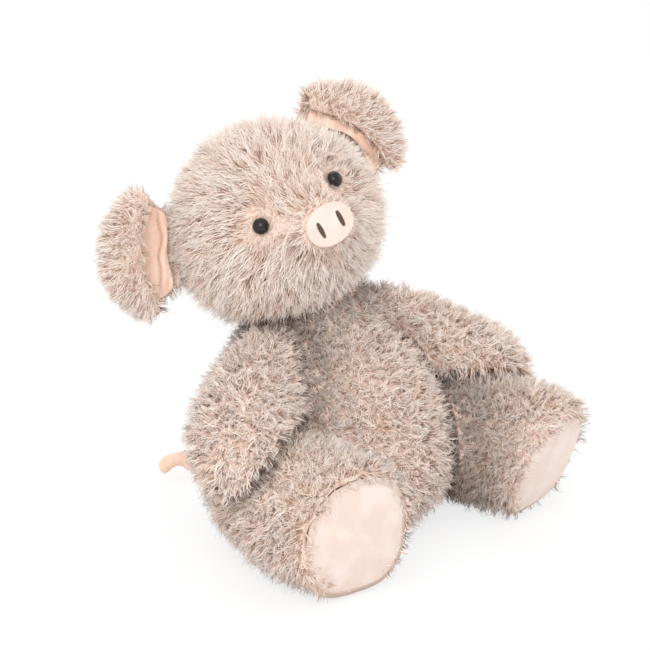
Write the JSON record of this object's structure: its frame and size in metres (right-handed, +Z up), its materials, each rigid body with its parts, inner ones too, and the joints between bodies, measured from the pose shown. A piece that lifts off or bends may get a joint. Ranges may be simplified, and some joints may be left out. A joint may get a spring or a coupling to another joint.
{
  "type": "plush pig",
  "caption": "Seated plush pig with a tilted head, folded ears, arms resting on outstretched legs and a curly tail. Free-standing on its seat.",
  "frame": {"origin": "on the floor, at the centre of the flat under the seat", "axes": "+Z up; the pig's front faces -Y; its right side is at -X"},
  "size_m": [0.2675, 0.2378, 0.2498],
  "materials": {
    "plush": "curly long-pile plush, matte",
    "suede": "fine brushed suede cloth, matte",
    "satin": "smooth satin cloth, soft sheen",
    "thread": "embroidery thread",
    "fibre": "loose white fibre filling",
    "calico": "plain woven cloth round plastic beans",
    "eye_plastic": "polished",
    "washer_plastic": "moulded"
  },
  "bodies": {
    "torso": {"torso_skin": "plush", "torso_stuffing": "fibre", "bean_pouch": "calico"},
    "neck": {"neck_stuffing": "fibre"},
    "head": {"head_skin": "plush", "head_stuffing": "fibre", "right_eye": "eye_plastic", "left_eye": "eye_plastic", "right_eye_washer": "washer_plastic", "left_eye_washer": "washer_plastic", "snout_pad": "suede", "right_nostril": "thread", "left_nostril": "thread"},
    "right_ear": {"right_ear_back": "plush", "right_ear_lining": "satin"},
    "left_ear": {"left_ear_back": "plush", "left_ear_lining": "satin"},
    "right_arm": {"right_arm_skin": "plush", "right_arm_stuffing": "fibre"},
    "left_arm": {"left_arm_skin": "plush", "left_arm_stuffing": "fibre"},
    "right_leg": {"right_leg_skin": "plush", "right_leg_stuffing": "fibre", "right_foot_sole": "suede"},
    "left_leg": {"left_leg_skin": "plush", "left_leg_stuffing": "fibre", "left_foot_sole": "suede"},
    "tail": {"tail": "satin"}
  },
  "joints": [
    {"name": "head_tilt", "type": "hinge", "parent": "torso", "child": "neck", "pos_m": [0.01185, 0.01288, 0.11895], "axis": [0, 1, 0], "range_deg": [-5, 15]},
    {"name": "head_turn", "type": "hinge", "parent": "neck", "child": "head", "pos_m": [0.01185, 0.01288, 0.11895], "axis": [-0.2856, 0.3806, 0.8795], "range_deg": [-20, 20]},
    {"name": "right_ear_fold", "type": "hinge", "parent": "head", "child": "right_ear", "pos_m": [-0.06105, 0.06991, 0.16497], "axis": [-0.1207, -0.2545, -0.9595], "range_deg": [-20, 20], "stiffness_Nm_per_rad": 0.02},
    {"name": "left_ear_fold", "type": "hinge", "parent": "head", "child": "left_ear", "pos_m": [0.04997, 0.05101, 0.20465], "axis": [-0.6384, 0.4354, 0.6347], "range_deg": [-20, 20], "stiffness_Nm_per_rad": 0.02},
    {"name": "right_arm_raise", "type": "hinge", "parent": "torso", "child": "right_arm", "pos_m": [-0.048, 0.008, 0.103], "axis": [-1, 0, 0], "range_deg": [0, 70]},
    {"name": "left_arm_raise", "type": "hinge", "parent": "torso", "child": "left_arm", "pos_m": [0.048, 0.008, 0.11], "axis": [-1, 0, 0], "range_deg": [0, 70]},
    {"name": "right_leg_lower", "type": "hinge", "parent": "torso", "child": "right_leg", "pos_m": [-0.066, -0.006, 0.04], "axis": [1, 0, 0], "range_deg": [0, 60]},
    {"name": "left_leg_lower", "type": "hinge", "parent": "torso", "child": "left_leg", "pos_m": [0.066, -0.006, 0.04], "axis": [1, 0, 0], "range_deg": [0, 60]},
    {"name": "tail_swing", "type": "hinge", "parent": "torso", "child": "tail", "pos_m": [-0.004, 0.0755, 0.01397], "axis": [0, 0, 1], "range_deg": [-20, 20], "stiffness_Nm_per_rad": 0.002}
  ]
}
